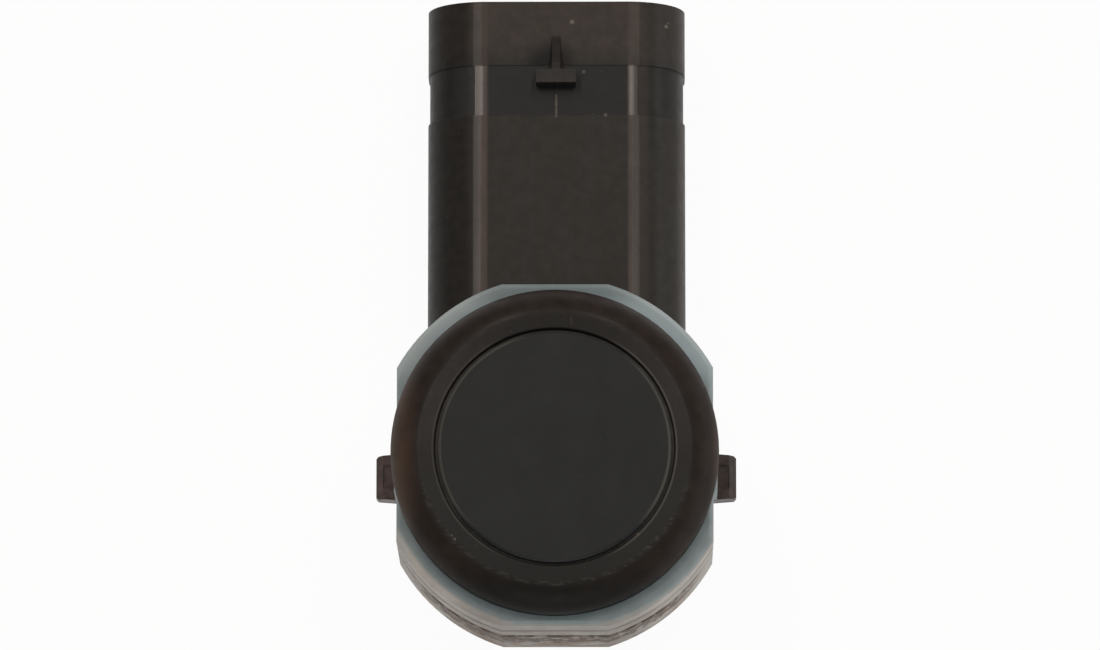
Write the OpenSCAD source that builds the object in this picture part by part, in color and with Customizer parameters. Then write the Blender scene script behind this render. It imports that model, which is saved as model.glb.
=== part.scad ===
// Right-angle ultrasonic parking sensor, in millimetres.
// Z points out of the sensing face and Y out of the connector mouth.
// The origin is on the head axis, where the back of the bezel meets the front of the collar.

/* [Head] */
// Diameter of the round membrane face
membrane_d = 15.6; // [15:0.1:16.2]
// Height of the membrane face above the front of the collar
membrane_rise = 3; // [2.7:0.1:3.4]
// Thickness of the vibrating membrane
membrane_t = 0.8; // [0.6:0.05:1]
// Chamfer round the edge of the membrane face
membrane_edge = 0.15; // [0.1:0.05:0.3]
// Depth of the aluminium cup from its face to its rim
cup_h = 8.5; // [7.5:0.1:9]
// Wall of the cup at its rim
cup_wall = 1.4; // [1.2:0.1:1.6]
// Width of the oblong hollow across the cup
cup_hollow_w = 10; // [9.4:0.1:11]
// Distance from the membrane face to the waist of the cup
cup_waist_drop = 4; // [3:0.1:4.5]
// Height of the waist round the cup
cup_waist_h = 2.4; // [1.6:0.1:2.8]
// Depth of the waist round the cup
cup_waist_depth = 0.4; // [0.2:0.05:0.6]
// Gap between the membrane and the bezel
membrane_gap = 0.18; // [0.1:0.01:0.3]
// Thickness of the soft ring between the cup and the barrel
ring_t = 0.8; // [0.6:0.05:0.9]
// Thickness of the soft pad behind the cup
ring_pad_t = 0.6; // [0.4:0.05:1]
// Width of the soft pad behind the cup
ring_pad_w = 2.2; // [1.5:0.1:2.6]
// Depth of the ring's thin lip below the membrane face
ring_lip_drop = 0.5; // [0.45:0.05:1]
// Diameter of the piezo disc
piezo_d = 8.4; // [8:0.1:9]
// Thickness of the piezo disc
piezo_t = 0.3; // [0.2:0.05:0.5]

/* [Bezel] */
// Width of the bezel's seat outside the barrel
bezel_seat_w = 1.35; // [1.1:0.05:1.6]
// Width of the flat ring in front
bezel_face_w = 1.22; // [1:0.02:1.4]
// Fall of the flat ring from its inner to its outer edge
bezel_face_fall = 0.1; // [0.02:0.02:0.2]
// Depth of the flat ring below the membrane face
bezel_set = 0.25; // [0:0.05:0.4]
// Chamfer round the bore of the bezel
bezel_bore_edge = 0.12; // [0.08:0.02:0.2]
// Height of the straight outer edge
bezel_edge_h = 1; // [0.8:0.1:1.2]
// Distance that flattens the curve of the slope
bezel_crown = 0.8; // [0.4:0.1:1.6]

/* [Collar] */
// Wall of the collar at its round stretches
collar_wall = 2.5; // [2.3:0.05:2.8]
// Wall of the collar at its side flats
collar_side_wall = 0.97; // [0.8:0.01:1.1]
// Wall of the collar at its top and bottom flats
collar_end_wall = 1.96; // [1.7:0.02:2.1]
// Length of the collar along the head axis
collar_h = 10.5; // [9.5:0.1:11.5]
// Chamfer at the front and back edges
collar_edge = 0.3; // [0.15:0.05:0.5]
// Distance from the collar's front to the first groove
collar_groove_1 = 2.6; // [2:0.1:3]
// Distance from the collar's front to the second groove
collar_groove_2 = 5; // [4.2:0.1:5.6]
// Radius of the rounded grooves
collar_groove_r = 0.55; // [0.4:0.05:0.7]
// Depth of the grooves
collar_groove_depth = 0.2; // [0.15:0.05:0.35]
// Thickness of the pad in front of each lug
collar_pad_t = 0.35; // [0.2:0.05:0.6]
// Length of the pad along the head axis
collar_pad_h = 4; // [3:0.1:4.5]

/* [Body] */
// Wall of the head barrel
barrel_wall = 1; // [0.8:0.05:1.15]
// Height of the barrel above the collar's front
barrel_rise = 1.2; // [0.9:0.05:1.4]
// Thickness of the floor inside the barrel
barrel_floor_t = 1.4; // [1:0.1:1.8]
// Distance from the head axis to the connector mouth
body_reach = 33.5; // [31:0.1:36]
// Width of the body
body_w = 17.8; // [17.2:0.1:18.4]
// Thickness of the body
body_t = 10; // [9.6:0.1:11]
// Radius of the long edges of the body
body_edge_r = 4; // [3.6:0.1:4.2]
// Width of the narrow facet beside the flat front
facet_w = 0.6; // [0.4:0.05:0.7]
// Slope of the narrow facet in degrees
facet_tilt = 8; // [5:0.5:10]
// Radius of the rear long edges beside the tray
tray_edge_r = 0.8; // [0.4:0.1:1.2]
// Chamfer round the back of the head
head_edge = 0.5; // [0.3:0.1:0.8]
// Gap between the back of the collar and the front of the body
body_drop = 0.4; // [0.2:0.1:0.8]
// Wall of the body beside and in front of the tray
body_wall = 1.4; // [1.2:0.05:1.6]
// Wall of the head beside the tray
head_wall = 1.7; // [1.4:0.05:1.75]
// Distance from the head axis to the end wall of the tray
tray_reach = 17.4; // [17:0.1:18.4]
// Width of the ledge under the circuit board
ledge_w = 0.7; // [0.5:0.05:0.9]
// Depth of the compound below the rim of the tray
potting_inset = 0.7; // [0.4:0.1:0.9]

/* [Connector] */
// Depth of the connector socket
socket_depth = 11; // [10:0.1:12]
// Wall of the connector shroud
shroud_wall = 1.6; // [1.4:0.1:1.9]
// Length of the band at the mouth
mouth_band_l = 4.5; // [4:0.1:5]
// Length of the shallow recess behind the band
recess_l = 3.5; // [3:0.1:4]
// Depth of the shallow recess at its sides
recess_depth = 0.12; // [0.05:0.01:0.25]
// Depth of the shallow recess at its front and back
recess_front = 0.03; // [0.02:0.01:0.1]
// Depth of the lead-in step inside the mouth
lead_in = 0.35; // [0.2:0.05:0.5]
// Width of each coding rib in the socket
coding_rib_w = 1; // [0.8:0.1:1.4]
// Height of each coding rib in the socket
coding_rib_h = 0.8; // [0.5:0.1:1.2]
// Distance between the two coding ribs
coding_rib_pitch = 7; // [6:0.1:8]
// Distance between the terminals
terminal_pitch = 3.6; // [3:0.1:4]
// Thickness of the square terminals
terminal_w = 0.64; // [0.5:0.02:0.8]
// Distance from the mouth to the tips of the terminals
terminal_tip_drop = 4.6; // [4.4:0.1:5.5]
// Height of the lock nose above the band
nose_h = 1.2; // [0.8:0.1:1.6]
// Width of the cross bar of the lock nose
nose_bar_w = 2.75; // [2.2:0.05:3.4]
// Length of the cross bar of the lock nose
nose_bar_l = 0.95; // [0.7:0.05:1.2]
// Gap between the mouth band and the cross bar
nose_bar_gap = 0.5; // [0.2:0.05:0.7]
// Width of the top of the ramp of the lock nose
nose_ramp_w = 0.55; // [0.4:0.05:0.8]
// Spread of each flank of the ramp where it meets the cross bar
nose_flank_w = 0.5; // [0.1:0.05:0.6]
// Distance from the mouth to the foot of the ramp
nose_ramp_drop = 2.35; // [1.8:0.05:2.6]
// Width of the mould line in the recess
mould_line_w = 0.15; // [0.1:0.01:0.25]
// Height of the mould line
mould_line_h = 0.05; // [0.02:0.01:0.1]

/* [Lugs] */
// Reach of each lug beyond the side flats of the collar
lug_reach = 1.68; // [1.4:0.02:2]
// Width of each lug
lug_w = 3.2; // [2.6:0.1:3.6]
// Distance of the lugs from the head axis towards the mouth
lug_shift = 0.18; // [0:0.02:0.4]
// Draft of each side of a lug
lug_draft = 0.12; // [0.02:0.02:0.2]
// Thickness of each lug along the head axis
lug_t = 1.6; // [1.2:0.1:2.2]
// Gap between the collar and the lugs
lug_gap = 0.15; // [0.1:0.05:0.4]
// Chamfer at the front of each lug's end
lug_edge = 0.5; // [0.3:0.05:0.7]
// Chamfer at the outer corners of each lug
lug_corner = 0.15; // [0.1:0.05:0.3]
// Depth of the pocket in the front of each lug
lug_pocket_depth = 0.1; // [0.05:0.05:0.4]
// Width of the pocket in the front of each lug
lug_pocket_w = 1.6; // [1:0.1:2]
// Wall between the collar and the pocket
lug_pocket_wall = 0.25; // [0.2:0.05:0.4]

/* [Electronics] */
// Thickness of the circuit board
board_t = 1; // [0.8:0.1:1.2]
// Depth of the compound over the back of the board
board_cover = 1.2; // [1:0.1:1.5]
// Distance from the end of the board to the terminal holes
terminal_row = 1.4; // [1.2:0.1:1.8]
// Length of the terminals and leads behind the board
board_stub = 0.6; // [0.4:0.05:0.8]
// Diameter of the insulated leads
lead_d = 0.7; // [0.5:0.05:0.9]
// Distance between the two leads
lead_pitch = 3; // [2.4:0.1:3.6]
// Distance of the leads from the head axis
lead_offset = 2.6; // [2:0.1:3.2]
// Width of the chip without its legs
chip_w = 4; // [3.6:0.1:4.6]
// Length of the chip
chip_l = 5; // [4.6:0.1:5.4]
// Height of the chip
chip_h = 1.5; // [1.2:0.1:1.8]
// Reach of the chip's legs beside its body
chip_leg = 1; // [0.8:0.1:1.2]
// Width of each leg of the chip
chip_leg_w = 0.4; // [0.3:0.05:0.5]
// Thickness of each leg of the chip
chip_leg_t = 0.4; // [0.3:0.05:0.5]
// Distance between the legs of the chip
chip_leg_pitch = 1.2; // [1:0.05:1.25]
// Width of the square transformer core
core_w = 5.6; // [5:0.1:6]
// Height of the transformer
core_h = 4.6; // [3.8:0.1:4.8]
// Thickness of the flanges of the core
core_flange_t = 0.9; // [0.7:0.05:1.1]
// Diameter of the post of the core
core_post_d = 2.4; // [2:0.1:3]
// Thickness of the winding on the post
winding_t = 1.2; // [0.8:0.05:1.25]
// Gap between neighbouring parts on the board
part_gap = 0.6; // [0.5:0.05:0.7]
// Width of the buffer capacitor
buffer_w = 2.4; // [2:0.1:2.6]
// Length of the buffer capacitor
buffer_l = 3.5; // [3:0.1:4]
// Height of the buffer capacitor
buffer_h = 1.9; // [1.5:0.1:2.4]
// Width of the protection diode
diode_w = 1.6; // [1.4:0.1:2]
// Length of the protection diode
diode_l = 2.7; // [2.4:0.1:3.2]
// Height of the protection diode
diode_h = 1.2; // [1:0.1:1.6]
// Width of each chip capacitor
capacitor_w = 1.25; // [1:0.05:1.6]
// Length of each chip capacitor
capacitor_l = 2; // [1.6:0.1:2.2]
// Height of each chip capacitor
capacitor_h = 0.9; // [0.7:0.05:1.2]
// Distance between the chip capacitors
capacitor_pitch = 2.4; // [2:0.1:2.8]
// Width of each chip resistor
resistor_w = 0.8; // [0.6:0.05:1]
// Length of each chip resistor
resistor_l = 1.6; // [1.2:0.1:1.7]
// Height of each chip resistor
resistor_h = 0.5; // [0.4:0.05:0.7]
// Distance between the chip resistors
resistor_pitch = 2; // [1.9:0.05:2.1]
// Height of the cones of solder
joint_h = 0.5; // [0.3:0.05:0.55]
// Width of solder round a terminal or lead at the board
joint_w = 0.4; // [0.3:0.05:0.5]
// Width of solder round a terminal or lead at its end
joint_tip_w = 0.15; // [0.1:0.05:0.2]
// Radius of the holes through which the compound flows
flow_hole_r = 0.8; // [0.5:0.05:1]

/* [Fits] */
// Clearance between the collar and the barrel
collar_fit = 0.05; // [0.02:0.01:0.1]
// Clearance between the bezel and the barrel
bezel_fit = 0.05; // [0.02:0.01:0.1]
// Clearance between the circuit board and the tray
board_fit = 0.2; // [0.1:0.05:0.3]
// Clearance round a lead or terminal in its hole
hole_fit = 0.1; // [0.05:0.01:0.15]

/* [Hidden] */
$fn = 96;
membrane_r = membrane_d / 2;
hollow_r = membrane_r - cup_wall;
cup_back = membrane_rise - cup_h;
waist_top = membrane_rise - cup_waist_drop;
waist_back = waist_top - cup_waist_h;
waist_r = membrane_r - cup_waist_depth;
disc_back = membrane_rise - membrane_t - piezo_t;
ring_back = cup_back - ring_pad_t;
barrel_bore_r = membrane_r + ring_t;
barrel_r = barrel_bore_r + barrel_wall;
floor_back = ring_back - barrel_floor_t;
bezel_r = barrel_r + bezel_fit + bezel_seat_w;
bezel_bore_r = membrane_r + membrane_gap;
bezel_face_r = bezel_bore_r + bezel_face_w;
bezel_top = membrane_rise - bezel_set;
bezel_cap = barrel_rise + bezel_fit;
slope_w = bezel_r - bezel_face_r;
slope_h = bezel_top - bezel_face_fall - bezel_edge_h;
slope_drop = (slope_w * slope_w + 2 * slope_w * bezel_crown - slope_h * slope_h) / (2 * slope_h);
slope_r = norm([bezel_crown, slope_h + slope_drop]);
slope_start = atan2(slope_drop, slope_w + bezel_crown);
slope_end = atan2(slope_h + slope_drop, bezel_crown);
slope_steps = 10;
function slope_angle(i) = slope_start + (slope_end - slope_start) * i / slope_steps;
collar_bore_r = barrel_r + collar_fit;
collar_r = collar_bore_r + collar_wall;
collar_side = collar_bore_r + collar_side_wall;
collar_end = collar_bore_r + collar_end_wall;
body_top = -collar_h - body_drop;
body_back = body_top - body_t;
body_mid = (body_top + body_back) / 2;
facet_end = acos(1 - facet_w * tan(facet_tilt) / body_edge_r);
facet_inset = body_edge_r * (1 - sin(facet_end)) + facet_w;
roof = body_top - body_wall;
board_back = body_back + potting_inset + board_cover;
board_front = board_back + board_t;
tray_half = body_w / 2 - body_wall;
tray_round = barrel_r - head_wall;
board_end = tray_reach - board_fit;
terminal_y = board_end - terminal_row;
socket_floor = body_reach - socket_depth;
socket_w = body_w - 2 * shroud_wall;
socket_t = body_t - 2 * shroud_wall;
terminal_tip = body_reach - terminal_tip_drop;
band_end = body_reach - mouth_band_l;
recess_end = band_end - recess_l;
lug_top = -collar_h - lug_gap;
chip_y = terminal_y - terminal_w / 2 - part_gap - chip_l / 2;
core_y = chip_y - chip_l / 2 - part_gap - core_w / 2;
row_y = core_y - core_w / 2 - part_gap;
terminal_hole_r = norm([terminal_w, terminal_w]) / 2 + hole_fit;
lead_hole_r = lead_d / 2 + hole_fit;
margin = 1;

// Extrudes a shape drawn in X and Z from one Y to another.
module along_y(from, to) {
    translate([0, to, 0])
        rotate([90, 0, 0])
            linear_extrude(to - from)
                children();
}

// Rectangle centred on X whose front and back corners have their own radii.
module section(w, front, back, front_r, back_r) {
    difference() {
        translate([-w / 2, back])
            square([w, front - back]);
        for (side = [-1, 1]) {
            scale([side, 1])
                corner(w / 2, front, front_r);
            scale([side, -1])
                corner(w / 2, -back, back_r);
        }
    }
}

// What a rounded corner takes off a square one.
module corner(half, front, r) {
    translate([half - r, front - r])
        difference() {
            square(r + margin);
            circle(r);
        }
}

// Section of the body, with a sloping facet on both sides of its flat front.
module body_section(w, front, back, back_r) {
    start = w / 2 - facet_inset;
    rise = tan(facet_tilt);
    difference() {
        section(w, front, back, body_edge_r, back_r);
        for (side = [-1, 1])
            scale([side, 1])
                polygon([
                    [start - margin, front + margin * rise],
                    [w / 2, front - facet_inset * rise],
                    [w / 2, front + margin * rise]
                ]);
    }
}

// Outline of the tray: a straight channel that ends in a round under the head.
module tongue(round_r, half, end) {
    circle(round_r);
    translate([-half, 0])
        square([2 * half, end]);
}

// Half profile of the collar, whose reach is the distance of its wall from the axis.
module collar_profile(reach) {
    difference() {
        polygon([
            [0, 0],
            [reach - collar_edge, 0],
            [reach, -collar_edge],
            [reach, -collar_h + collar_edge],
            [reach - collar_edge, -collar_h],
            [0, -collar_h]
        ]);
        for (z = [collar_groove_1, collar_groove_2])
            translate([reach + collar_groove_r - collar_groove_depth, -z])
                circle(collar_groove_r);
    }
}

// Bar with the collar's profile on both sides.
module collar_bar(reach) {
    rotate([90, 0, 0])
        linear_extrude(2 * collar_r, center = true)
            for (side = [-1, 1])
                scale([side, 1])
                    collar_profile(reach);
}

module decoupling_collar() {
    color("#6c7978")
        difference() {
            union() {
                intersection() {
                    rotate_extrude()
                        collar_profile(collar_r);
                    collar_bar(collar_side);
                    rotate([0, 0, 90])
                        collar_bar(collar_end);
                }
                for (side = [-1, 1])
                    scale([side, 1, 1])
                        translate([barrel_r, lug_shift - lug_w / 2, -collar_h])
                            cube([collar_side + collar_pad_t - barrel_r, lug_w, collar_pad_h]);
            }
            translate([0, 0, -collar_h - margin])
                cylinder(r = collar_bore_r, h = collar_h + 2 * margin);
        }
}

module front_bezel() {
    color("#2e2c29")
        rotate_extrude()
            polygon(concat(
                [[bezel_bore_r, bezel_cap],
                    [barrel_r + bezel_fit, bezel_cap],
                    [barrel_r + bezel_fit, 0],
                    [bezel_r, 0]],
                [for (i = [0:slope_steps])
                    [bezel_face_r - bezel_crown, bezel_edge_h - slope_drop]
                        + slope_r * [cos(slope_angle(i)), sin(slope_angle(i))]],
                [[bezel_bore_r + bezel_bore_edge, bezel_top],
                    [bezel_bore_r, bezel_top - bezel_bore_edge]]
            ));
}

// Oblong hollow inside the cup.
module cup_hollow() {
    intersection() {
        translate([0, 0, cup_back])
            cylinder(r = hollow_r, h = cup_h - membrane_t);
        translate([-membrane_r, -cup_hollow_w / 2, cup_back])
            cube([membrane_d, cup_hollow_w, cup_h]);
    }
}

module membrane_cup() {
    color("#2f2e2d")
        difference() {
            rotate_extrude()
                polygon([
                    [0, membrane_rise],
                    [membrane_r - membrane_edge, membrane_rise],
                    [membrane_r, membrane_rise - membrane_edge],
                    [membrane_r, waist_top],
                    [waist_r, waist_top],
                    [waist_r, waist_back],
                    [membrane_r, waist_back],
                    [membrane_r, cup_back],
                    [0, cup_back]
                ]);
            cup_hollow();
        }
}

module decoupling_ring() {
    color("#1d1d1b")
        rotate_extrude()
            polygon([
                [membrane_r, membrane_rise - ring_lip_drop],
                [bezel_bore_r, membrane_rise - ring_lip_drop],
                [bezel_bore_r, barrel_rise],
                [barrel_bore_r, barrel_rise],
                [barrel_bore_r, ring_back],
                [barrel_bore_r - ring_pad_w, ring_back],
                [barrel_bore_r - ring_pad_w, cup_back],
                [membrane_r, cup_back],
                [membrane_r, waist_back],
                [waist_r, waist_back],
                [waist_r, waist_top],
                [membrane_r, waist_top]
            ]);
}

module piezo_disc() {
    color("#b9b4a4")
        translate([0, 0, disc_back])
            cylinder(d = piezo_d, h = piezo_t);
}

module damping_foam() {
    color("#d8d2c0")
        difference() {
            cup_hollow();
            piezo_disc();
            for (side = [-1, 1])
                lead(side);
        }
}

// Straight insulated lead from the piezo disc through the circuit board.
module lead(side) {
    translate([side * lead_pitch / 2, -lead_offset, board_back - board_stub])
        cylinder(d = lead_d, h = disc_back - board_back + board_stub);
}

module signal_lead() {
    color("#a3261c")
        lead(1);
}

module ground_lead() {
    color("#22221f")
        lead(-1);
}

// Wedge-shaped lug on one side of the head, with a shallow pocket in its front.
module lug(side) {
    root = tray_round + margin;
    tip = collar_side + lug_reach;
    pocket = collar_side + lug_pocket_wall;
    half = lug_w / 2;
    tip_half = half - lug_draft;
    scale([side, 1, 1])
        translate([0, lug_shift, 0])
            difference() {
                intersection() {
                    along_y(-lug_w, lug_w)
                        polygon([
                            [root, lug_top],
                            [tip - lug_edge, lug_top],
                            [tip, lug_top - lug_edge],
                            [tip, lug_top - lug_t],
                            [root, lug_top - lug_t]
                        ]);
                    translate([0, 0, lug_top - lug_t - margin])
                        linear_extrude(lug_t + 2 * margin)
                            polygon([
                                [root - margin, -half],
                                [collar_side, -half],
                                [tip - lug_corner, -tip_half],
                                [tip + margin, -tip_half + lug_corner + margin],
                                [tip + margin, tip_half - lug_corner - margin],
                                [tip - lug_corner, tip_half],
                                [collar_side, half],
                                [root - margin, half]
                            ]);
                }
                translate([pocket, -lug_pocket_w / 2, lug_top - lug_pocket_depth])
                    cube([tip - lug_edge - pocket, lug_pocket_w, margin]);
            }
}

// Lock nose: a ramp with sloping flanks that climbs to a cross bar behind the mouth band.
module lock_nose() {
    bar_front = band_end - nose_bar_gap;
    foot = body_reach - nose_ramp_drop;
    sunk = recess_front + margin;
    translate([-nose_bar_w / 2, bar_front - nose_bar_l, body_top - sunk])
        cube([nose_bar_w, nose_bar_l, nose_h + sunk]);
    hull() {
        translate([-nose_ramp_w / 2, foot - nose_bar_gap, body_top - sunk])
            cube([nose_ramp_w, nose_bar_gap, sunk]);
        along_y(bar_front - nose_bar_l / 2, bar_front)
            polygon([
                [-nose_ramp_w / 2 - nose_flank_w, body_top - sunk],
                [nose_ramp_w / 2 + nose_flank_w, body_top - sunk],
                [nose_ramp_w / 2, body_top + nose_h],
                [-nose_ramp_w / 2, body_top + nose_h]
            ]);
    }
}

// Fine ridge along the middle of the recess.
module mould_line() {
    translate([-mould_line_w / 2, recess_end, body_top - recess_front - margin])
        cube([mould_line_w, recess_l, margin + mould_line_h]);
}

// Outside of the body, from the head to the connector mouth.
module body_shell() {
    along_y(0, socket_floor)
        body_section(body_w, body_top, body_back, tray_edge_r);
    along_y(socket_floor - margin, recess_end)
        body_section(body_w, body_top, body_back, body_edge_r);
    along_y(recess_end - margin, band_end + margin)
        body_section(body_w - 2 * recess_depth, body_top - recess_front, body_back + recess_front, body_edge_r);
    along_y(band_end, body_reach)
        body_section(body_w, body_top, body_back, body_edge_r);
    lock_nose();
    mould_line();
}

// Hollow of the connector socket, less its coding ribs.
module socket() {
    socket_r = body_edge_r - shroud_wall;
    difference() {
        along_y(socket_floor, body_reach + margin)
            section(socket_w, body_mid + socket_t / 2, body_mid - socket_t / 2, socket_r, socket_r);
        for (side = [-1, 1])
            translate([side * coding_rib_pitch / 2 - coding_rib_w / 2, socket_floor - margin,
                    body_mid + socket_t / 2 - coding_rib_h])
                cube([coding_rib_w, terminal_tip - socket_floor + margin, coding_rib_h + margin]);
    }
    along_y(body_reach - lead_in, body_reach + margin)
        section(socket_w + 2 * lead_in, body_mid + socket_t / 2 + lead_in, body_mid - socket_t / 2 - lead_in,
            socket_r + lead_in, socket_r + lead_in);
}

// Hollow behind the head that takes the board from the back, with a ledge for the board.
module tray() {
    translate([0, 0, body_back - margin])
        linear_extrude(board_front - body_back + margin)
            tongue(tray_round, tray_half, tray_reach);
    tray_front();
}

module tray_front() {
    translate([0, 0, board_front - margin / 2])
        linear_extrude(roof - board_front + margin / 2)
            tongue(tray_round - ledge_w, tray_half - ledge_w, tray_reach - ledge_w);
    translate([0, 0, roof - margin])
        cylinder(r = tray_round - 2 * ledge_w, h = floor_back - roof + margin);
}

module main_housing() {
    color("#3a3936")
        difference() {
            union() {
                rotate_extrude()
                    polygon([
                        [0, body_back],
                        [barrel_r - head_edge, body_back],
                        [barrel_r, body_back + head_edge],
                        [barrel_r, barrel_rise],
                        [0, barrel_rise]
                    ]);
                body_shell();
                for (side = [-1, 1])
                    lug(side);
            }
            translate([0, 0, ring_back])
                cylinder(r = barrel_bore_r, h = barrel_rise - ring_back + margin);
            for (side = [-1, 1])
                translate([side * lead_pitch / 2, -lead_offset, floor_back - margin])
                    cylinder(r = lead_hole_r, h = barrel_floor_t + 2 * margin);
            tray();
            socket();
            for (place = [-1, 0, 1])
                terminal(place);
        }
}

// Square terminal that comes out of the socket floor and bends back through the board.
module terminal(place) {
    half = terminal_w / 2;
    tip = terminal_w / 4;
    translate([place * terminal_pitch - half, 0, 0])
        rotate([90, 0, 90])
            linear_extrude(terminal_w)
                polygon([
                    [terminal_y - half, board_back - board_stub],
                    [terminal_y + half, board_back - board_stub],
                    [terminal_y + half, body_mid - half],
                    [terminal_tip - terminal_w, body_mid - half],
                    [terminal_tip, body_mid - half + tip],
                    [terminal_tip, body_mid + half - tip],
                    [terminal_tip - terminal_w, body_mid + half],
                    [terminal_y - half, body_mid + half]
                ]);
}

module supply_terminal() {
    color("#c9b27a")
        terminal(-1);
}

module signal_terminal() {
    color("#c9b27a")
        terminal(0);
}

module ground_terminal() {
    color("#c9b27a")
        terminal(1);
}

module circuit_board() {
    color("#2c5a3a")
        difference() {
            translate([0, 0, board_back])
                linear_extrude(board_t)
                    tongue(tray_round - board_fit, tray_half - board_fit, board_end);
            board_holes();
        }
}

// Holes for the terminals and leads, and two through which the compound flows.
module board_holes() {
    translate([0, 0, board_back - margin]) {
        for (place = [-1, 0, 1])
            translate([place * terminal_pitch, terminal_y, 0])
                cylinder(r = terminal_hole_r, h = board_t + 2 * margin);
        for (side = [-1, 1]) {
            translate([side * lead_pitch / 2, -lead_offset, 0])
                cylinder(r = lead_hole_r, h = board_t + 2 * margin);
            translate([side * (lead_pitch + flow_hole_r), -lead_offset, 0])
                cylinder(r = flow_hole_r, h = board_t + 2 * margin);
        }
    }
}

module driver_chip() {
    color("#262626")
        translate([0, chip_y, board_front]) {
            translate([-chip_w / 2, -chip_l / 2, chip_leg_t / 2])
                cube([chip_w, chip_l, chip_h - chip_leg_t / 2]);
            for (row = [-1.5:1:1.5])
                translate([-chip_w / 2 - chip_leg, row * chip_leg_pitch - chip_leg_w / 2, 0])
                    cube([chip_w + 2 * chip_leg, chip_leg_w, chip_leg_t]);
        }
}

module transformer_core() {
    color("#4a4a4c")
        translate([0, core_y, board_front]) {
            for (z = [0, core_h - core_flange_t])
                translate([-core_w / 2, -core_w / 2, z])
                    cube([core_w, core_w, core_flange_t]);
            cylinder(d = core_post_d, h = core_h);
        }
}

module transformer_winding() {
    color("#b0622f")
        translate([0, core_y, board_front + core_flange_t])
            difference() {
                cylinder(d = core_post_d + 2 * winding_t, h = core_h - 2 * core_flange_t);
                translate([0, 0, -margin])
                    cylinder(d = core_post_d, h = core_h + margin);
            }
}

module buffer_capacitor() {
    color("#b58a3a")
        translate([-core_w / 2 - part_gap - buffer_w, core_y - buffer_l / 2, board_front])
            cube([buffer_w, buffer_l, buffer_h]);
}

module protection_diode() {
    color("#2b2b2d")
        translate([core_w / 2 + part_gap, core_y - diode_l / 2, board_front])
            cube([diode_w, diode_l, diode_h]);
}

module chip_capacitors() {
    color("#a58a66")
        for (place = [-1.5:1:1.5])
            translate([place * capacitor_pitch - capacitor_w / 2, row_y - capacitor_l, board_front])
                cube([capacitor_w, capacitor_l, capacitor_h]);
}

module chip_resistors() {
    column = chip_w / 2 + chip_leg + part_gap;
    color("#2a2a30")
        for (side = [-1, 1])
            for (place = [-1, 0, 1])
                scale([side, 1, 1])
                    translate([column, chip_y + place * resistor_pitch - resistor_l / 2, board_front])
                        cube([resistor_w, resistor_l, resistor_h]);
}

// Cone of solder behind the board, round what passes through a hole of the board.
module joint(hole_r) {
    translate([0, 0, board_back - joint_h])
        cylinder(r1 = hole_r + joint_tip_w, r2 = hole_r + joint_w, h = joint_h);
}

module solder_joints() {
    color("#b4b6b8")
        difference() {
            union() {
                for (place = [-1, 0, 1])
                    translate([place * terminal_pitch, terminal_y, 0])
                        joint(terminal_hole_r);
                for (side = [-1, 1])
                    translate([side * lead_pitch / 2, -lead_offset, 0])
                        joint(lead_hole_r);
            }
            for (place = [-1, 0, 1])
                terminal(place);
            for (side = [-1, 1])
                lead(side);
        }
}

module potting_compound() {
    color("#26241f")
        difference() {
            union() {
                translate([0, 0, body_back + potting_inset])
                    linear_extrude(board_front - body_back - potting_inset)
                        tongue(tray_round, tray_half, tray_reach);
                tray_front();
            }
            circuit_board();
            driver_chip();
            transformer_core();
            transformer_winding();
            buffer_capacitor();
            protection_diode();
            chip_capacitors();
            chip_resistors();
            solder_joints();
            for (place = [-1, 0, 1])
                terminal(place);
            for (side = [-1, 1])
                lead(side);
        }
}

main_housing();
front_bezel();
decoupling_collar();
membrane_cup();
decoupling_ring();
piezo_disc();
damping_foam();
signal_lead();
ground_lead();
circuit_board();
driver_chip();
transformer_core();
transformer_winding();
buffer_capacitor();
protection_diode();
chip_capacitors();
chip_resistors();
supply_terminal();
signal_terminal();
ground_terminal();
solder_joints();
potting_compound();
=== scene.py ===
import bpy
from mathutils import Matrix, Vector


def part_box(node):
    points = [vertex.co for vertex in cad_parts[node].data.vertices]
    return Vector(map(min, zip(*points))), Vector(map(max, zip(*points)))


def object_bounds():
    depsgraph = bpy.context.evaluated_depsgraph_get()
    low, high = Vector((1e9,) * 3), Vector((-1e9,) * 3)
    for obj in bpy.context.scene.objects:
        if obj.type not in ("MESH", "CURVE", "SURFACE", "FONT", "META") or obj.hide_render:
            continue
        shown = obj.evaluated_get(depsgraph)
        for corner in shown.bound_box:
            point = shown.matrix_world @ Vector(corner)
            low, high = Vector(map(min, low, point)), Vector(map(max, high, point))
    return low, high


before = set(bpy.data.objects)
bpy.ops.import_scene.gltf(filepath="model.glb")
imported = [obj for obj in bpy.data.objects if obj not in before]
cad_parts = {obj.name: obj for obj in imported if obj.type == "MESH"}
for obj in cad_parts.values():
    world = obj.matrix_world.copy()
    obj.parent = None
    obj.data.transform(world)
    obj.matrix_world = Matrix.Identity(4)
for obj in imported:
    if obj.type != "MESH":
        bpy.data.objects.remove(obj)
cad_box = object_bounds()

# Sizes are in metres, in the frame of the CAD model: X to the right, Y out of the connector mouth
# and Z out of the sensing face, with the head axis at X = Y = 0.
MM = 0.001
FLOOR_Z = cad_box[0][2]
FACE_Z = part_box("membrane_cup")[1][2]

# Places on the housing: its front along Z, then places along Y, then distances from its middle plane.
# NOSE_SHADE is the middle of the painted shade round the lock nose, in X and Y.
BODY_FRONT = -10.9 * MM
RECESS_START = 25.5 * MM
RECESS_END = 29.0 * MM
BAND_START = 29.1 * MM
MOUTH_START = 30.6 * MM
NOSE_FOOT = 27.0 * MM
FLAT_EDGE = 4.9 * MM
FACET = (5.35 * MM, 5.45 * MM)
LUG_ROOT = 10.0 * MM
NOSE_SHADE = (-0.4 * MM, 28.9 * MM)

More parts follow.
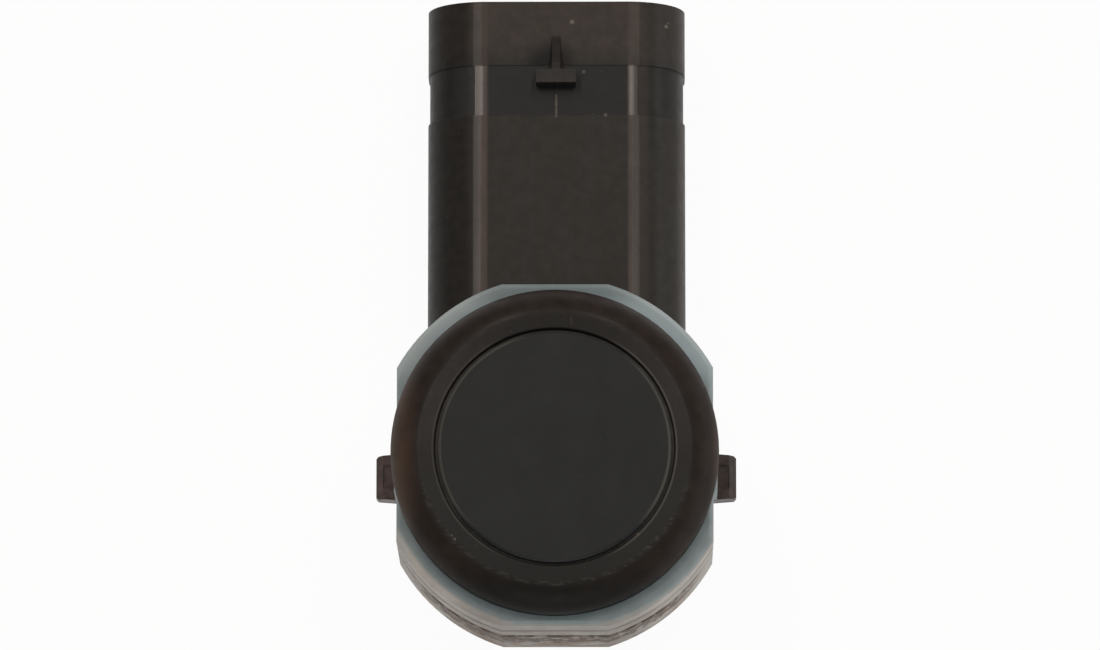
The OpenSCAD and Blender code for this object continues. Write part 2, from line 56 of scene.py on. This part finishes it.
# Radii round the head axis
MEMBRANE_LINE = (7.62 * MM, 7.74 * MM)
BEZEL_BORE = (8.1 * MM, 8.18 * MM)
BEZEL_CREASE = (9.12 * MM, 9.3 * MM)
COLLAR_EDGE = 12.1 * MM

# Detail of the noise that stands for a fine grain
GRAIN = 2.0

# View of the photograph
IMAGE_W = 1100
IMAGE_H = 650
FACE_PIXEL = (554.5, 446.2)
PIXELS_PER_METRE = 15000
CAMERA_DISTANCE = 0.55
CAMERA_LEAN = Vector((0.009, -0.185, 1.0))
CAMERA_CLIP = 0.01
SENSOR_W = 36.0

# Floor and light
FLOOR_SIZE = 3
FLOOR_GLOW = 0.95
WORLD_STRENGTH = 0.33
WHITE = (1.0, 1.0, 1.0)
WARM = (1.0, 0.88, 0.8)


def srgb(red, green, blue):
    """Linear colour from the 0 to 255 values of a screen."""
    channels = []
    for value in (red, green, blue):
        c = value / 255
        channels.append(c / 12.92 if c <= 0.04045 else ((c + 0.055) / 1.055) ** 2.4)
    return (*channels, 1.0)


class Shader:
    """A material with a Principled shader and short calls for the nodes that feed it.

    A mask is a socket that gives 1 inside a zone and 0 outside it. Where a call takes a mask or a
    value, it takes a socket or a number.
    """

    # Noise values at which a cloudy pattern is at its lowest and highest
    CLOUD = (0.3, 0.7)
    BEVEL_SAMPLES = 8
    # Sockets of the Mix node that deal with colours
    MIX_AMOUNT, MIX_A, MIX_B, MIX_RESULT = 0, 6, 7, 2

    def __init__(self, name):
        self.material = bpy.data.materials.new(name)
        self.material.use_nodes = True
        self.tree = self.material.node_tree
        self.tree.nodes.clear()
        self.output = self.add("ShaderNodeOutputMaterial")
        self.principled = self.add("ShaderNodeBsdfPrincipled")
        self.feed(self.output.inputs["Surface"], self.principled.outputs["BSDF"])
        self.place = self.add("ShaderNodeTexCoord").outputs["Object"]
        split = self.add("ShaderNodeSeparateXYZ")
        self.feed(split.inputs[0], self.place)
        self.x, self.y, self.z = split.outputs

    def add(self, kind, **settings):
        """New node of a kind."""
        node = self.tree.nodes.new(kind)
        for key, value in settings.items():
            setattr(node, key, value)
        return node

    def feed(self, socket, value):
        """Link a socket to another one, or set it to a constant."""
        if isinstance(value, bpy.types.NodeSocket):
            self.tree.links.new(value, socket)
        else:
            socket.default_value = value

    def set(self, socket, value):
        """Feed a socket of the Principled shader."""
        self.feed(self.principled.inputs[socket], value)

    def math(self, operation, a, b=0.0):
        """Result of a Math node."""
        node = self.add("ShaderNodeMath", operation=operation)
        self.feed(node.inputs[0], a)
        self.feed(node.inputs[1], b)
        return node.outputs[0]

    def both(self, *masks):
        """Product of masks."""
        result = masks[0]
        for mask in masks[1:]:
            result = self.math("MULTIPLY", result, mask)
        return result

    def either(self, *masks):
        """Largest of masks."""
        result = masks[0]
        for mask in masks[1:]:
            result = self.math("MAXIMUM", result, mask)
        return result

    def between(self, value, low, high, bottom=0.0, top=1.0):
        """Smooth step from bottom, where value is at low, to top, where it is at high."""
        node = self.add("ShaderNodeMapRange", interpolation_type="SMOOTHSTEP")
        self.feed(node.inputs["Value"], value)
        node.inputs["From Min"].default_value = low
        node.inputs["From Max"].default_value = high
        node.inputs["To Min"].default_value = bottom
        node.inputs["To Max"].default_value = top
        return node.outputs["Result"]

    def band(self, value, low, high, soft):
        """1 from low to high, falling to 0 over the distance soft on both sides."""
        rise = self.between(value, low - soft, low)
        fall = self.between(value, high, high + soft)
        return self.math("SUBTRACT", rise, fall)

    def noise(self, size, detail=3.0, stretch=(1, 1, 1)):
        """Noise whose features are about size metres across, and longer along an axis of low stretch."""
        mapping = self.add("ShaderNodeMapping")
        self.feed(mapping.inputs["Vector"], self.place)
        mapping.inputs["Scale"].default_value = stretch
        node = self.add("ShaderNodeTexNoise")
        self.feed(node.inputs["Vector"], mapping.outputs[0])
        node.inputs["Scale"].default_value = 1 / size
        node.inputs["Detail"].default_value = detail
        return node.outputs["Fac"]

    def cloud(self, size, detail=3.0, bottom=0.0, top=1.0):
        """Soft patches about size metres across, from bottom to top."""
        return self.between(self.noise(size, detail), *self.CLOUD, bottom, top)

    def cells(self, spacing):
        """Distance from the nearest of points that are about spacing apart, as a share of it."""
        node = self.add("ShaderNodeTexVoronoi")
        self.feed(node.inputs["Vector"], self.place)
        node.inputs["Scale"].default_value = 1 / spacing
        return node.outputs["Distance"]

    def specks(self, spacing, size):
        """Mask of round dots, such as dust."""
        return self.between(self.cells(spacing), 0.5 * size / spacing, size / spacing, 1.0, 0.0)

    def reach(self, x, y):
        """Distance from a line along Z through x and y."""
        dx = self.math("SUBTRACT", self.x, x)
        dy = self.math("SUBTRACT", self.y, y)
        return self.math("SQRT", self.math("ADD", self.both(dx, dx), self.both(dy, dy)))

    def spot(self, x, y, size):
        """Mask of one mark at x and y, seen from the front, in millimetres."""
        return self.between(self.reach(x * MM, y * MM), 0.35 * size * MM, size * MM, 1.0, 0.0)

    def mix(self, amount, a, b):
        """Colour a, or colour b where amount is 1."""
        node = self.add("ShaderNodeMix", data_type="RGBA")
        self.feed(node.inputs[self.MIX_AMOUNT], amount)
        self.feed(node.inputs[self.MIX_A], a)
        self.feed(node.inputs[self.MIX_B], b)
        return node.outputs[self.MIX_RESULT]

    def layers(self, colour, *coats):
        """Colour under coats, each a pair of its amount and its colour."""
        for amount, coat in coats:
            colour = self.mix(amount, colour, coat)
        return colour

    def relief(self, height, depth, edge=None):
        """Bump of the given depth, on edges that look rounded over the distance edge."""
        node = self.add("ShaderNodeBump")
        node.inputs["Distance"].default_value = depth
        self.feed(node.inputs["Height"], height)
        if edge is not None:
            rounding = self.add("ShaderNodeBevel", samples=self.BEVEL_SAMPLES)
            self.feed(rounding.inputs["Radius"], edge)
            self.feed(node.inputs["Normal"], rounding.outputs[0])
        self.set("Normal", node.outputs[0])


def moulded(name, dark, light, rough, grain, depth, patch):
    """Plain moulded surface: mottled colour, uneven gloss and a fine grain, with sizes in millimetres."""
    s = Shader(name)
    s.set("Base Color", s.mix(s.between(s.noise(patch * MM), 0.35, 0.65), dark, light))
    s.set("Roughness", s.cloud(0.5 * patch * MM, bottom=rough - 0.07, top=rough + 0.07))
    s.relief(s.noise(grain * MM, GRAIN), depth * MM)
    return s.material


def metal(name, dark, light, rough, grain, depth, patch=0.8):
    """Bare metal with tarnished patches and fine drawing marks, with sizes in millimetres."""
    s = Shader(name)
    s.set("Base Color", s.mix(s.between(s.noise(patch * MM), 0.35, 0.7), light, dark))
    s.set("Metallic", 1.0)
    s.set("Roughness", s.cloud(0.4 * patch * MM, bottom=rough - 0.08, top=rough + 0.1))
    s.relief(s.noise(grain * MM, GRAIN, (1, 0.15, 1)), depth * MM)
    return s.material


def housing_dust(s, in_front):
    """Mask of fine dust all over and of the single marks on the front of the housing."""
    mould_line = s.both(
        s.band(s.x, -0.07 * MM, 0.07 * MM, 0.03 * MM),
        s.band(s.y, 25.4 * MM, 26.9 * MM, 0.1 * MM),
        s.between(s.noise(0.3 * MM), 0.3, 0.5),
    )
    bright = s.either(s.spot(1.1, 32.06, 0.2), s.spot(7.6, 31.95, 0.16))
    faint = s.either(s.spot(1.9, 28.55, 0.16), s.spot(3.4, 25.5, 0.18), s.spot(7.75, 32.2, 0.1))
    marks = s.either(bright, s.both(faint, 0.6), s.both(mould_line, 0.6))
    return s.either(s.both(s.specks(1.3 * MM, 0.05 * MM), 0.5), s.both(marks, in_front))


def housing_highlights(s, in_front):
    """Mask of painted highlights along the creases beside the facets and on the body's right edge."""
    left_crease = s.band(s.x, -5.15 * MM, -FLAT_EDGE, 0.3 * MM)
    right_crease = s.band(s.x, 5.05 * MM, 5.15 * MM, 0.2 * MM)
    right_haze = s.both(s.band(s.x, 5.3 * MM, 6.1 * MM, 0.5 * MM), 0.3)
    streaks = s.between(s.noise(0.6 * MM, 4.0, (1, 0.4, 1)), 0.2, 0.8, 0.55, 1.0)
    creases = s.both(s.either(left_crease, right_crease, right_haze), streaks)
    right_edge = s.both(s.between(s.x, 8.2 * MM, 8.7 * MM), 0.6)
    less_on_band = s.between(s.y, RECESS_END, BAND_START, 1.0, 0.4)
    return s.both(s.either(creases, right_edge), in_front, less_on_band)


def housing_gloss(s, side, in_recess):
    """Weight of the glossy coat, which is highest on the facets and in the recess."""
    along_body = s.between(s.y, 14.0 * MM, 19.0 * MM, 0.2, 0.12)
    less_on_band = s.between(s.y, RECESS_END, BAND_START, 0.0, 0.12)
    less_on_right = s.between(s.x, -1.0 * MM, 1.0 * MM, 0.0, 0.07)
    stripe = s.math("SUBTRACT", s.math("SUBTRACT", along_body, less_on_band), less_on_right)
    gloss = s.math("ADD", s.both(s.band(side, *FACET, 0.4 * MM), stripe), 0.13)
    recess_gloss = s.both(
        in_recess,
        s.between(side, FLAT_EDGE, FLAT_EDGE + 0.1 * MM, 0.43, 0.62),
        s.between(s.x, 5.3 * MM, 5.45 * MM, 1.0, 0.35),
    )
    return s.either(recess_gloss, gloss)


def housing_plastic():
    """Black glass-filled plastic, warm near the mouth and smoother round the lock nose; painted shade in
    the recess, round the nose and on the rounds, painted highlights by the facets and on the right edge,
    painted light on the lugs.
    """
    s = Shader("housing_plastic")
    mottle = s.cloud(0.7 * MM, 4.0)
    flow = s.between(s.noise(0.8 * MM, 3.0, (1, 0.12, 1)), 0.35, 0.7)
    body = s.mix(mottle, srgb(44, 43, 40), srgb(50, 49, 46))
    body = s.mix(s.both(flow, 0.3), body, srgb(47, 38, 33))

    side = s.math("ABSOLUTE", s.x)
    in_front = s.between(s.z, BODY_FRONT - 3.5 * MM, BODY_FRONT - 1.5 * MM)
    polished = s.between(s.z, BODY_FRONT - 1.1 * MM, BODY_FRONT - 0.35 * MM)
    raised = s.between(s.z, BODY_FRONT + 0.02 * MM, BODY_FRONT + 0.12 * MM)
    in_mouth = s.between(s.y, RECESS_END, MOUTH_START)
    # Painted shade: the mouth's right round falls back to the darker body colour, and the left round is
    # darker still.
    mouth_right_shade = s.both(s.between(s.x, 5.4 * MM, 6.4 * MM), in_mouth, in_front)
    left_round_shade = s.both(s.between(s.x, -5.4 * MM, -6.4 * MM), in_front)
    # Painted shade: a darker colour in the recess and round the lock nose, less towards the sides.
    in_recess = s.band(s.y, RECESS_START, RECESS_END, 0.05 * MM)
    shade_round_nose = s.between(s.reach(*NOSE_SHADE), 0.6 * MM, 2.4 * MM, 1.0, 0.0)
    less_on_sides = s.between(side, FLAT_EDGE, 6.0 * MM, 1.0, 0.35)
    dark = s.both(s.either(in_recess, shade_round_nose), in_front, less_on_sides)
    on_nose = s.both(raised, s.between(s.y, NOSE_FOOT, NOSE_FOOT + 0.5 * MM))
    left_lug = s.between(s.x, -LUG_ROOT, -LUG_ROOT - 0.5 * MM)
    right_lug = s.between(s.x, LUG_ROOT, LUG_ROOT + 0.5 * MM)
    s.set("Base Color", s.layers(
        body,
        (in_mouth, s.mix(mottle, srgb(54, 49, 45), srgb(61, 55, 51))),
        (s.both(mouth_right_shade, 0.7), body),
        (s.both(left_round_shade, 0.8), s.mix(mottle, srgb(30, 28, 25), srgb(36, 33, 30))),
        (dark, s.mix(mottle, srgb(21, 22, 21), srgb(26, 26, 26))),
        # Painted highlights along the creases beside the facets and on the right edge.
        (housing_highlights(s, in_front), srgb(81, 71, 67)),
        (on_nose, s.mix(mottle, srgb(35, 32, 30), srgb(41, 38, 35))),
        # Painted light: the lugs are lighter than the body, the left one more than the right.
        (left_lug, s.mix(mottle, srgb(71, 59, 56), srgb(87, 73, 69))),
        (right_lug, s.mix(mottle, srgb(57, 49, 46), srgb(71, 61, 57))),
        (s.both(housing_dust(s, in_front), 0.6), srgb(125, 118, 109)),
    ))

    s.set("Roughness", s.cloud(0.8 * MM, bottom=0.36, top=0.44))
    s.set("Specular IOR Level", 0.09)
    s.set("Coat Weight", s.both(polished, housing_gloss(s, side, in_recess)))
    s.set("Coat Roughness", 0.24)

    # The facets look soft, apart from those in the recess.
    grain = s.math("ADD", s.noise(0.09 * MM, GRAIN), s.both(flow, 0.6))
    round_facet = s.band(side, FLAT_EDGE, 5.9 * MM, 0.3 * MM)
    soft = s.both(round_facet, s.math("SUBTRACT", 1.0, in_recess), polished)
    s.relief(grain, 0.003 * MM, s.between(soft, 0.0, 1.0, 0.1 * MM, 0.5 * MM))
    return s.material


def bezel_plastic():
    """Painted ring: grey on the flat in front, brown-black on the slope, rubbed where they meet, with
    painted shade at the top of the flat and the bottom of the slope, a painted reflection at its left and
    right edges and a painted highlight on the edge of its bore.
    """
    s = Shader("bezel_plastic")
    r = s.reach(0, 0)
    side = s.math("ABSOLUTE", s.x)
    mottle = s.cloud(1.2 * MM, 4.0)

    # The flat has painted shade towards the top and is lighter low in the middle.
    low_middle = s.both(s.between(side, 1.5 * MM, 5.0 * MM, 0.75, 1.0), s.between(s.y, 0.0, -4.0 * MM))
    flat = s.layers(
        s.mix(mottle, srgb(29, 27, 25), srgb(32, 30, 27)),
        (s.between(s.y, 2.0 * MM, 9.0 * MM), srgb(21, 20, 18)),
        (low_middle, srgb(39, 39, 37)),
    )
    # The slope has painted shade at the bottom.
    slope = s.layers(
        s.mix(mottle, srgb(34, 28, 24), srgb(42, 35, 31)),
        (s.between(s.y, -7.0 * MM, -10.5 * MM), srgb(18, 16, 13)),
    )

    # Painted reflection: brown on the left and right edges of the slope.
    left_edge = s.between(s.x, -8.8 * MM, -10.6 * MM)
    right_edge = s.between(s.x, 10.2 * MM, 11.4 * MM)
    uneven = s.between(s.noise(1.6 * MM, 4.0), 0.2, 0.6, 0.6, 1.0)
    edge_reflection = s.both(s.either(left_edge, right_edge), uneven)

    scratches = s.between(s.noise(0.3 * MM, 5.0, (0.5, 1.4, 1)), 0.42, 0.72)
    low = s.between(s.y, -1.5 * MM, -3.5 * MM)
    rubbed = s.both(s.band(r, *BEZEL_CREASE, 0.12 * MM), low, scratches)
    nick = s.both(s.band(s.x, 1.1 * MM, 1.16 * MM, 0.05 * MM), s.band(s.y, 8.3 * MM, 8.8 * MM, 0.1 * MM))
    marks = s.either(
        s.both(s.specks(1.1 * MM, 0.05 * MM), 0.6),
        s.spot(-6.65, -6.2, 0.14),
        s.spot(-6.85, -5.95, 0.1),
        s.spot(5.55, -5.9, 0.16),
        s.both(nick, 0.2),
    )
    # Painted highlight on the edge of the bore, stronger on the right.
    bore_highlight = s.both(
        s.band(r, *BEZEL_BORE, 0.06 * MM),
        s.between(side, 3.0 * MM, 5.5 * MM),
        s.between(s.x, 0.0, 5.0 * MM, 0.16, 0.3),
    )
    s.set("Base Color", s.layers(
        flat,
        (s.between(r, 8.9 * MM, 9.7 * MM), slope),
        (edge_reflection, srgb(70, 56, 47)),
        # Rubbed crease and marks, with the painted highlight on the bore edge, in one pale colour.
        (s.either(s.both(rubbed, 0.17), s.both(marks, 0.5), bore_highlight), srgb(106, 102, 97)),
    ))

    s.set("Roughness", s.cloud(0.7 * MM, bottom=0.36, top=0.46))
    s.set("Specular IOR Level", 0.09)
    s.set("Coat Weight", s.between(r, 9.2 * MM, 10.0 * MM, 0.11, 0.0))
    s.set("Coat Roughness", 0.25)
    crease = s.band(r, 8.8 * MM, 9.8 * MM, 0.3 * MM)
    s.relief(s.noise(0.08 * MM, GRAIN), 0.003 * MM, s.between(crease, 0.0, 1.0, 0.15 * MM, 0.7 * MM))
    return s.material


def collar_silicone():
    """Blue-grey silicone, clean in front, with brown grime at the bottom and painted light: lighter on
    its upper face, a lighter colour on the wall and outer edge, beige on the wall from dust and painted
    warm light, and painted shade at the top and low on the wall.
    """
    s = Shader("collar_silicone")
    r = s.reach(0.25 * MM, 0)
    mottle = s.cloud(1.1 * MM, 4.0)

    # Painted light: the face is lighter towards the top and most at the upper right.
    upper = s.between(s.y, 2.0 * MM, 9.0 * MM)
    upper_right = s.both(s.between(s.x, 2.0 * MM, 4.5 * MM), s.between(s.y, 4.0 * MM, 7.0 * MM))
    face = s.layers(
        s.mix(mottle, srgb(121, 133, 134), srgb(130, 141, 142)),
        (upper, s.mix(mottle, srgb(131, 147, 152), srgb(140, 155, 160))),
        (s.both(upper_right, 0.9), srgb(150, 166, 172)),
    )
    # The wall is lighter than the face, painted light; towards the bottom it turns beige, partly dust and
    # partly painted warm light.
    drift = s.both(s.math("SUBTRACT", s.noise(2.6 * MM, 5.0), 0.5), 9.0 * MM)
    clean = s.between(s.math("ADD", s.y, drift), -7.5 * MM, -1.5 * MM)
    dust_and_warm_light = s.mix(mottle, srgb(165, 159, 152), srgb(175, 170, 164))
    wall = s.mix(clean, dust_and_warm_light, srgb(154, 164, 165))

    # The wall colour also goes on the face's outer edge as a painted highlight, wider at the upper sides.
    behind_face = s.between(s.z, -0.08 * MM, -0.4 * MM)
    outer_rim = s.between(r, 11.7 * MM, COLLAR_EDGE)
    upper_rim = s.both(s.between(r, 11.1 * MM, COLLAR_EDGE), s.between(s.y, 4.0 * MM, 7.0 * MM))
    rim = s.either(behind_face, outer_rim, upper_rim)
    # Painted shade at the top middle, next to the bezel.
    top = s.both(s.between(s.y, 9.6 * MM, 11.0 * MM), s.band(s.x, -3.2 * MM, 3.2 * MM, 4.6 * MM))

    below = s.between(s.y, -6.5 * MM, -9.5 * MM)
    # Painted shade low on the wall.
    bottom = s.both(rim, s.between(s.y, -9.8 * MM, -11.0 * MM, 0.0, 0.6))
    film = s.both(
        s.between(s.noise(2.4 * MM, 5.0), 0.35, 0.65),
        s.between(s.z, -1.0 * MM, -7.0 * MM),
        below,
    )
    patches = s.between(s.noise(0.6 * MM, 4.0, (1, 1, 0.7)), 0.36, 0.54)
    waver = s.both(s.math("SUBTRACT", s.noise(1.7 * MM, 2.0), 0.5), 2.5 * MM)
    level = s.math("ADD", s.z, waver)
    grime = s.both(patches, s.band(level, -7.6 * MM, -5.4 * MM, 0.6 * MM), below)
    s.set("Base Color", s.layers(
        face,
        (rim, wall),
        (s.both(top, 0.55), srgb(74, 89, 90)),
        (bottom, srgb(131, 126, 120)),
        (s.both(film, 0.7), srgb(112, 92, 76)),
        (s.both(grime, 0.85), srgb(70, 54, 42)),
    ))

    s.set("Roughness", s.cloud(0.6 * MM, bottom=0.55, top=0.7))
    s.set("Specular IOR Level", 0.25)
    s.relief(s.noise(0.1 * MM, GRAIN), 0.006 * MM, 0.15 * MM)
    return s.material


def membrane_metal():
    """Aluminium cup under matt black paint, with bare metal below the edge of the bezel and a painted
    highlight on the edge of its face at the sides.
    """
    s = Shader("membrane_metal")
    mottle = s.cloud(2.2 * MM, 4.0)
    # Painted highlight on the edge of the face, at the sides and not low down.
    sides = s.either(s.between(s.x, -1.5 * MM, -3.5 * MM), s.between(s.x, 4.2 * MM, 6.4 * MM))
    not_low = s.between(s.y, -6.0 * MM, -3.5 * MM)
    edge_highlight = s.both(s.band(s.reach(0, 0), *MEMBRANE_LINE, 0.06 * MM), sides, not_low)
    bare = s.between(s.z, 1.6 * MM, 1.1 * MM)
    s.set("Base Color", s.layers(
        s.mix(mottle, srgb(32, 34, 33), srgb(35, 37, 36)),
        (s.both(edge_highlight, 0.6), srgb(80, 78, 72)),
        (s.both(s.specks(1.7 * MM, 0.05 * MM), 0.3), srgb(99, 95, 89)),
        (bare, srgb(158, 158, 157)),
    ))
    s.set("Metallic", bare)
    s.set("Roughness", s.cloud(0.9 * MM, bottom=0.4, top=0.5))
    s.set("Specular IOR Level", 0.15)
    s.relief(s.noise(0.07 * MM, GRAIN), 0.002 * MM, 0.06 * MM)
    return s.material


def potting_resin():
    """Poured black resin: glossy, with slow ripples and a few pinholes."""
    s = Shader("potting_resin")
    s.set("Base Color", s.mix(s.cloud(2.6 * MM), srgb(27, 26, 23), srgb(38, 35, 31)))
    s.set("Roughness", s.cloud(1.5 * MM, bottom=0.18, top=0.34))
    holes = s.specks(1.9 * MM, 0.12 * MM)
    ripple = s.math("SUBTRACT", s.noise(3.5 * MM, 1.0), s.both(holes, 0.5))
    s.relief(ripple, 0.12 * MM)
    return s.material


def copper_wire():
    """Enamelled wire wound in layers."""
    s = Shader("copper_wire")
    wire_r = 0.06 * MM
    # Painted shade between the turns, lighter on their crests.
    turns = s.between(s.math("PINGPONG", s.z, wire_r), 0.0, wire_r)
    s.set("Base Color", s.mix(turns, srgb(96, 44, 18), srgb(184, 104, 56)))
    s.set("Metallic", 1.0)
    s.set("Roughness", s.cloud(0.3 * MM, bottom=0.25, top=0.4))
    s.relief(turns, 0.03 * MM)
    return s.material


def board_laminate():
    """Green solder mask over a glass weave."""
    s = Shader("board_laminate")
    threads = 9000.0
    warp = s.math("SINE", s.math("MULTIPLY", s.x, threads))
    weft = s.math("SINE", s.math("MULTIPLY", s.y, threads))
    weave = s.math("MULTIPLY", warp, weft)
    s.set("Base Color", s.mix(s.cloud(1.5 * MM), srgb(24, 74, 44), srgb(36, 92, 56)))
    s.set("Roughness", s.between(weave, -1.0, 1.0, 0.3, 0.42))
    s.relief(weave, 0.008 * MM)
    return s.material


def foam():
    """Pale closed-cell foam."""
    s = Shader("foam")
    # Painted shade: darker where the surface sinks.
    depth = s.between(s.cells(0.35 * MM), 0.1, 0.7)
    s.set("Base Color", s.mix(depth, srgb(226, 220, 203), srgb(188, 180, 160)))
    s.set("Roughness", s.cloud(0.5 * MM, bottom=0.8, top=0.95))
    s.relief(depth, -0.08 * MM)
    return s.material


MATERIALS = {
    "main_housing": housing_plastic(),
    "front_bezel": bezel_plastic(),
    "decoupling_collar": collar_silicone(),
    "membrane_cup": membrane_metal(),
    "potting_compound": potting_resin(),
    "transformer_winding": copper_wire(),
    "circuit_board": board_laminate(),
    "damping_foam": foam(),
    "solder_joints": metal("solder", srgb(150, 152, 154), srgb(190, 192, 194), 0.3, 0.15, 0.01),
}

# Plain moulded pieces: material, darkest and lightest colour, roughness, then the grain, its depth
# and the patches of colour in millimetres
MOULDED = {
    "decoupling_ring": ("ring_silicone", (18, 18, 16), (26, 25, 23), 0.6, 0.12, 0.008, 1.6),
    "piezo_disc": ("piezo_ceramic", (176, 170, 154), (196, 190, 174), 0.5, 0.05, 0.004, 1.6),
    "signal_lead": ("lead_red", (148, 30, 22), (172, 42, 32), 0.4, 0.1, 0.005, 0.8),
    "ground_lead": ("lead_black", (30, 30, 28), (40, 40, 38), 0.4, 0.1, 0.005, 0.8),
    "driver_chip": ("chip_mould", (34, 34, 34), (46, 46, 46), 0.55, 0.06, 0.006, 0.9),
    "transformer_core": ("ferrite", (64, 64, 67), (82, 82, 84), 0.45, 0.05, 0.006, 1.6),
    "buffer_capacitor": ("capacitor_mould", (176, 132, 54), (196, 152, 70), 0.5, 0.07, 0.005, 1.6),
    "protection_diode": ("diode_mould", (36, 36, 38), (48, 48, 50), 0.5, 0.06, 0.006, 0.8),
    "chip_capacitors": ("capacitor_ceramic", (150, 124, 92), (172, 146, 112), 0.45, 0.05, 0.004, 0.6),
    "chip_resistors": ("resistor_ceramic", (36, 36, 42), (50, 50, 56), 0.4, 0.05, 0.004, 0.5),
}
for name, (material, dark, light, *finish) in MOULDED.items():
    MATERIALS[name] = moulded(material, srgb(*dark), srgb(*light), *finish)

brass = metal("terminal_brass", srgb(176, 150, 96), srgb(214, 190, 132), 0.3, 0.08, 0.004)
for name in ("supply_terminal", "signal_terminal", "ground_terminal"):
    MATERIALS[name] = brass

for name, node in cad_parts.items():
    for slot in node.material_slots:
        slot.material = MATERIALS[name]


def floor_material():
    """Pale floor that looks nearly white to the camera and still takes the part's shadow."""
    s = Shader("floor")
    s.set("Base Color", (0.8, 0.8, 0.8, 1))
    s.set("Roughness", 0.9)
    path = s.add("ShaderNodeLightPath").outputs
    seen = s.either(path["Is Camera Ray"], path["Is Glossy Ray"], path["Is Transmission Ray"])
    glow = s.add("ShaderNodeEmission")
    blend = s.add("ShaderNodeMixShader")
    s.feed(blend.inputs[0], s.both(seen, FLOOR_GLOW))
    s.feed(blend.inputs[1], s.principled.outputs["BSDF"])
    s.feed(blend.inputs[2], glow.outputs[0])
    s.feed(s.output.inputs["Surface"], blend.outputs[0])
    return s.material


# Floor
bpy.ops.mesh.primitive_plane_add(size=FLOOR_SIZE, location=(0, 0, FLOOR_Z))
floor = bpy.context.object
floor.name = "floor"
floor.data.materials.append(floor_material())

# Light
world = bpy.data.worlds.new("studio")
bpy.context.scene.world = world
world.use_nodes = True
sky = world.node_tree.nodes["Background"]
sky.inputs["Color"].default_value = (*WHITE, 1)
sky.inputs["Strength"].default_value = WORLD_STRENGTH


def softbox(name, place, length, width, watts, colour):
    """Rectangular lamp aimed at the origin, with its length along Y as far as that allows."""
    lamp = bpy.data.lights.new(name, "AREA")
    lamp.shape = "RECTANGLE"
    lamp.size = length
    lamp.size_y = width
    lamp.energy = watts
    lamp.color = colour
    lamp_object = bpy.data.objects.new(name, lamp)
    away = Vector(place).normalized()
    across = Vector((0, 1, 0)).cross(away).normalized()
    turn = Matrix((away.cross(across), -across, away)).transposed().to_4x4()
    lamp_object.matrix_world = Matrix.Translation(place) @ turn
    bpy.context.collection.objects.link(lamp_object)


softbox("left_strip", place=(-0.183, 0.34, 0.6), length=0.5, width=0.1, watts=1.5, colour=WARM)
softbox("right_strip", place=(0.172, 0.34, 0.6), length=0.5, width=0.1, watts=1.35, colour=WARM)
softbox("right_side", place=(0.66, 0.0, 0.06), length=0.8, width=0.5, watts=1.9, colour=WHITE)
softbox("front", place=(0.0, -0.6, 0.22), length=0.3, width=0.5, watts=1.05, colour=WHITE)

# Camera, placed so that the middle of the sensing face falls on its pixel in the photograph
back = CAMERA_LEAN.normalized()
right = Vector((0, 1, 0)).cross(back).normalized()
up = back.cross(right)
focal_pixels = PIXELS_PER_METRE * CAMERA_DISTANCE
offset_x = (FACE_PIXEL[0] - IMAGE_W / 2) / PIXELS_PER_METRE
offset_y = (IMAGE_H / 2 - FACE_PIXEL[1]) / PIXELS_PER_METRE
camera = bpy.data.cameras.new("camera")
camera.sensor_width = SENSOR_W
camera.lens = focal_pixels / IMAGE_W * SENSOR_W
camera.clip_start = CAMERA_CLIP
camera_object = bpy.data.objects.new("camera", camera)
turn = Matrix((right, up, back)).transposed().to_4x4()
place = Vector((0, 0, FACE_Z)) + back * CAMERA_DISTANCE - right * offset_x - up * offset_y
camera_object.matrix_world = Matrix.Translation(place) @ turn
bpy.context.collection.objects.link(camera_object)
bpy.context.scene.camera = camera_object
bpy.context.scene.view_settings.view_transform = "Standard"
